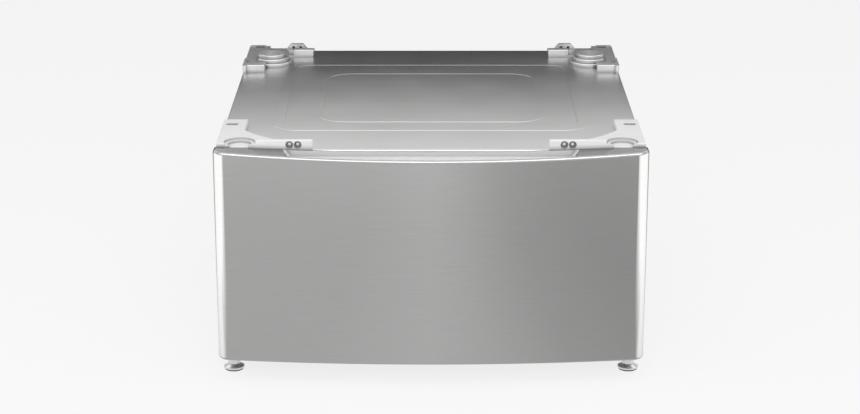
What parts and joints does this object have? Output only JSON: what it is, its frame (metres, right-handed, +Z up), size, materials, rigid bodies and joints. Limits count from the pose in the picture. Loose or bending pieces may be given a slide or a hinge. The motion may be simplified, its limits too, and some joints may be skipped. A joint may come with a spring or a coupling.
{
  "type": "laundry pedestal",
  "caption": "Low steel laundry pedestal with a bowed stainless drawer on telescopic slides, corner foot holders on its plate and screw-out levelling feet.",
  "frame": {"origin": "on the floor, under the middle of the whole part's box", "axes": "+Z up, +Y to the rear, +X to the right seen from the front, where the drawer opens towards -Y"},
  "size_m": [0.686, 0.728, 0.3958],
  "materials": {
    "plate_steel": "satin",
    "cabinet_paint": "satin",
    "galvanised": "matte",
    "zinc": "satin",
    "screw_steel": "satin",
    "holder_pale": "gloss",
    "holder_grey": "gloss",
    "slide_steel": "satin",
    "cage_steel": "satin",
    "stainless": "brushed",
    "pull_plastic": "gloss",
    "drawer_paint": "satin",
    "rubber": "matte"
  },
  "bodies": {
    "cabinet": {"top_plate": "plate_steel", "side_panel_left": "cabinet_paint", "side_panel_right": "cabinet_paint", "rear_panel": "cabinet_paint", "rear_panel_screws": "screw_steel", "base_rail_front": "galvanised", "base_rail_rear": "galvanised", "front_header": "galvanised", "foot_bracket_front_left": "galvanised", "foot_bracket_front_right": "galvanised", "foot_bracket_rear_left": "galvanised", "foot_bracket_rear_right": "galvanised", "foot_weld_nuts": "zinc", "foot_lock_nuts": "zinc", "foot_holder_front_left": "holder_pale", "foot_holder_front_right": "holder_pale", "foot_holder_rear_left": "holder_grey", "foot_holder_rear_right": "holder_grey", "holder_screws": "screw_steel", "slide_support_left": "galvanised", "slide_support_right": "galvanised", "slide_outer_left": "slide_steel", "slide_outer_right": "slide_steel", "slide_outer_rivets": "screw_steel", "drawer_bumpers": "rubber"},
    "drawer": {"drawer_front_skin": "stainless", "drawer_inner_panel": "drawer_paint", "finger_pull": "pull_plastic", "drawer_side_left": "drawer_paint", "drawer_side_right": "drawer_paint", "drawer_floor": "drawer_paint", "drawer_back": "drawer_paint", "front_panel_screws": "screw_steel", "slide_inner_left": "slide_steel", "slide_inner_right": "slide_steel", "slide_inner_rivets": "screw_steel"},
    "slide_middle_left": {"slide_middle_left": "slide_steel"},
    "slide_cage_outer_left": {"slide_cage_outer_left": "cage_steel"},
    "slide_cage_inner_left": {"slide_cage_inner_left": "cage_steel"},
    "slide_middle_right": {"slide_middle_right": "slide_steel"},
    "slide_cage_outer_right": {"slide_cage_outer_right": "cage_steel"},
    "slide_cage_inner_right": {"slide_cage_inner_right": "cage_steel"},
    "foot_pad_front_left": {"foot_pad_front_left": "zinc", "foot_sole_front_left": "rubber"},
    "foot_stem_front_left": {"foot_stem_front_left": "zinc"},
    "foot_pad_front_right": {"foot_pad_front_right": "zinc", "foot_sole_front_right": "rubber"},
    "foot_stem_front_right": {"foot_stem_front_right": "zinc"},
    "foot_pad_rear_left": {"foot_pad_rear_left": "zinc", "foot_sole_rear_left": "rubber"},
    "foot_stem_rear_left": {"foot_stem_rear_left": "zinc"},
    "foot_pad_rear_right": {"foot_pad_rear_right": "zinc", "foot_sole_rear_right": "rubber"},
    "foot_stem_rear_right": {"foot_stem_rear_right": "zinc"}
  },
  "joints": [
    {"name": "drawer_slide", "type": "slide", "parent": "cabinet", "child": "drawer", "axis": [0, -1, 0], "range_m": [0, 0.48]},
    {"name": "slide_middle_left_slide", "type": "slide", "parent": "cabinet", "child": "slide_middle_left", "axis": [0, -1, 0], "range_m": [0, 0.24]},
    {"name": "slide_cage_outer_left_slide", "type": "slide", "parent": "cabinet", "child": "slide_cage_outer_left", "axis": [0, -1, 0], "range_m": [0, 0.12]},
    {"name": "slide_cage_inner_left_slide", "type": "slide", "parent": "cabinet", "child": "slide_cage_inner_left", "axis": [0, -1, 0], "range_m": [0, 0.36]},
    {"name": "slide_middle_right_slide", "type": "slide", "parent": "cabinet", "child": "slide_middle_right", "axis": [0, -1, 0], "range_m": [0, 0.24]},
    {"name": "slide_cage_outer_right_slide", "type": "slide", "parent": "cabinet", "child": "slide_cage_outer_right", "axis": [0, -1, 0], "range_m": [0, 0.12]},
    {"name": "slide_cage_inner_right_slide", "type": "slide", "parent": "cabinet", "child": "slide_cage_inner_right", "axis": [0, -1, 0], "range_m": [0, 0.36]},
    {"name": "foot_front_left_reach", "type": "slide", "parent": "cabinet", "child": "foot_pad_front_left", "axis": [0, 0, -1], "range_m": [0, 0.018]},
    {"name": "foot_front_left_turn", "type": "hinge", "parent": "foot_pad_front_left", "child": "foot_stem_front_left", "pos_m": [-0.322, -0.293, 0.02], "axis": [0, 0, -1], "continuous": true},
    {"name": "foot_front_right_reach", "type": "slide", "parent": "cabinet", "child": "foot_pad_front_right", "axis": [0, 0, -1], "range_m": [0, 0.018]},
    {"name": "foot_front_right_turn", "type": "hinge", "parent": "foot_pad_front_right", "child": "foot_stem_front_right", "pos_m": [0.322, -0.293, 0.02], "axis": [0, 0, -1], "continuous": true},
    {"name": "foot_rear_left_reach", "type": "slide", "parent": "cabinet", "child": "foot_pad_rear_left", "axis": [0, 0, -1], "range_m": [0, 0.018]},
    {"name": "foot_rear_left_turn", "type": "hinge", "parent": "foot_pad_rear_left", "child": "foot_stem_rear_left", "pos_m": [-0.322, 0.334, 0.02], "axis": [0, 0, -1], "continuous": true},
    {"name": "foot_rear_right_reach", "type": "slide", "parent": "cabinet", "child": "foot_pad_rear_right", "axis": [0, 0, -1], "range_m": [0, 0.018]},
    {"name": "foot_rear_right_turn", "type": "hinge", "parent": "foot_pad_rear_right", "child": "foot_stem_rear_right", "pos_m": [0.322, 0.334, 0.02], "axis": [0, 0, -1], "continuous": true}
  ],
  "couplings": [
    {"joint": "slide_middle_left_slide", "follows": "drawer_slide", "ratio": 0.5},
    {"joint": "slide_cage_outer_left_slide", "follows": "drawer_slide", "ratio": 0.25},
    {"joint": "slide_cage_inner_left_slide", "follows": "drawer_slide", "ratio": 0.75},
    {"joint": "slide_middle_right_slide", "follows": "drawer_slide", "ratio": 0.5},
    {"joint": "slide_cage_outer_right_slide", "follows": "drawer_slide", "ratio": 0.25},
    {"joint": "slide_cage_inner_right_slide", "follows": "drawer_slide", "ratio": 0.75},
    {"joint": "foot_front_left_turn", "follows": "foot_front_left_reach", "rad_per_m": 4188.8},
    {"joint": "foot_front_right_turn", "follows": "foot_front_right_reach", "rad_per_m": 4188.8},
    {"joint": "foot_rear_left_turn", "follows": "foot_rear_left_reach", "rad_per_m": 4188.8},
    {"joint": "foot_rear_right_turn", "follows": "foot_rear_right_reach", "rad_per_m": 4188.8}
  ]
}
